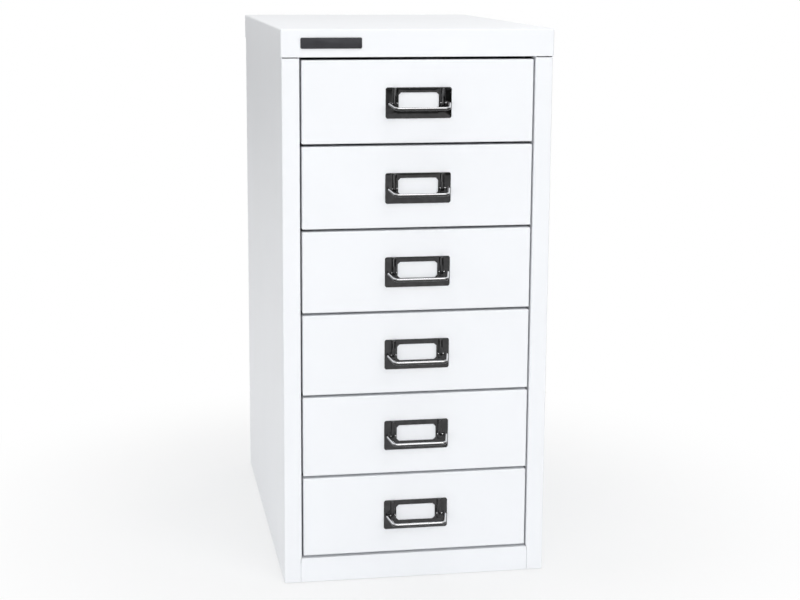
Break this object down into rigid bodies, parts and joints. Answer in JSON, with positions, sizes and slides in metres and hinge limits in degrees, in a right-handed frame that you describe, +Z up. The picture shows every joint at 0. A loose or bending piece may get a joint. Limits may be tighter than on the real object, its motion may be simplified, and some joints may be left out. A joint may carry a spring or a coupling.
{
  "type": "six-drawer steel cabinet",
  "caption": "Free-standing six-drawer white steel cabinet for A4 papers, with dark chrome label-holder plates and hinged wire pulls.",
  "frame": {"origin": "centre of the footprint, on the floor that the feet stand on", "axes": "+Z up, +X to the right seen from the front, the drawer fronts face -Y"},
  "size_m": [0.2806, 0.4556, 0.58],
  "materials": {
    "white_enamel": "satin powder coat",
    "zinc_steel": "zinc plated",
    "dark_chrome": "polished black chrome",
    "nylon": "moulded",
    "black_rubber": "matt",
    "badge_black": "gloss"
  },
  "bodies": {
    "carcass": {"top_cap": "white_enamel", "left_side_panel": "white_enamel", "right_side_panel": "white_enamel", "back_panel": "white_enamel", "base_pan": "white_enamel", "plinth_panel": "white_enamel", "front_top_rail": "white_enamel", "left_front_upright": "zinc_steel", "left_rear_upright": "zinc_steel", "right_front_upright": "zinc_steel", "right_rear_upright": "zinc_steel", "runner_guides": "nylon", "rear_buffers": "black_rubber", "glide_feet": "black_rubber", "blank_badge": "badge_black", "left_runner_1": "zinc_steel", "left_runner_2": "zinc_steel", "left_runner_3": "zinc_steel", "left_runner_4": "zinc_steel", "left_runner_5": "zinc_steel", "left_runner_6": "zinc_steel", "right_runner_1": "zinc_steel", "right_runner_2": "zinc_steel", "right_runner_3": "zinc_steel", "right_runner_4": "zinc_steel", "right_runner_5": "zinc_steel", "right_runner_6": "zinc_steel"},
    "drawer_1": {"drawer_tray_1": "white_enamel", "drawer_front_1": "white_enamel", "drawer_guides_1": "nylon", "label_holder_1": "dark_chrome"},
    "bail_1": {"pull_bail_1": "dark_chrome"},
    "drawer_2": {"drawer_tray_2": "white_enamel", "drawer_front_2": "white_enamel", "drawer_guides_2": "nylon", "label_holder_2": "dark_chrome"},
    "bail_2": {"pull_bail_2": "dark_chrome"},
    "drawer_3": {"drawer_tray_3": "white_enamel", "drawer_front_3": "white_enamel", "drawer_guides_3": "nylon", "label_holder_3": "dark_chrome"},
    "bail_3": {"pull_bail_3": "dark_chrome"},
    "drawer_4": {"drawer_tray_4": "white_enamel", "drawer_front_4": "white_enamel", "drawer_guides_4": "nylon", "label_holder_4": "dark_chrome"},
    "bail_4": {"pull_bail_4": "dark_chrome"},
    "drawer_5": {"drawer_tray_5": "white_enamel", "drawer_front_5": "white_enamel", "drawer_guides_5": "nylon", "label_holder_5": "dark_chrome"},
    "bail_5": {"pull_bail_5": "dark_chrome"},
    "drawer_6": {"drawer_tray_6": "white_enamel", "drawer_front_6": "white_enamel", "drawer_guides_6": "nylon", "label_holder_6": "dark_chrome"},
    "bail_6": {"pull_bail_6": "dark_chrome"}
  },
  "joints": [
    {"name": "drawer_1_slide", "type": "slide", "parent": "carcass", "child": "drawer_1", "axis": [0, -1, 0], "range_m": [0, 0.324]},
    {"name": "bail_1_hinge", "type": "hinge", "parent": "drawer_1", "child": "bail_1", "pos_m": [0, -0.218, 0.5052], "axis": [-1, 0, 0], "range_deg": [0, 75]},
    {"name": "drawer_2_slide", "type": "slide", "parent": "carcass", "child": "drawer_2", "axis": [0, -1, 0], "range_m": [0, 0.324]},
    {"name": "bail_2_hinge", "type": "hinge", "parent": "drawer_2", "child": "bail_2", "pos_m": [0, -0.218, 0.4182], "axis": [-1, 0, 0], "range_deg": [0, 75]},
    {"name": "drawer_3_slide", "type": "slide", "parent": "carcass", "child": "drawer_3", "axis": [0, -1, 0], "range_m": [0, 0.324]},
    {"name": "bail_3_hinge", "type": "hinge", "parent": "drawer_3", "child": "bail_3", "pos_m": [0, -0.218, 0.3312], "axis": [-1, 0, 0], "range_deg": [0, 75]},
    {"name": "drawer_4_slide", "type": "slide", "parent": "carcass", "child": "drawer_4", "axis": [0, -1, 0], "range_m": [0, 0.324]},
    {"name": "bail_4_hinge", "type": "hinge", "parent": "drawer_4", "child": "bail_4", "pos_m": [0, -0.218, 0.2442], "axis": [-1, 0, 0], "range_deg": [0, 75]},
    {"name": "drawer_5_slide", "type": "slide", "parent": "carcass", "child": "drawer_5", "axis": [0, -1, 0], "range_m": [0, 0.324]},
    {"name": "bail_5_hinge", "type": "hinge", "parent": "drawer_5", "child": "bail_5", "pos_m": [0, -0.218, 0.1572], "axis": [-1, 0, 0], "range_deg": [0, 75]},
    {"name": "drawer_6_slide", "type": "slide", "parent": "carcass", "child": "drawer_6", "axis": [0, -1, 0], "range_m": [0, 0.324]},
    {"name": "bail_6_hinge", "type": "hinge", "parent": "drawer_6", "child": "bail_6", "pos_m": [0, -0.218, 0.0702], "axis": [-1, 0, 0], "range_deg": [0, 75]}
  ]
}
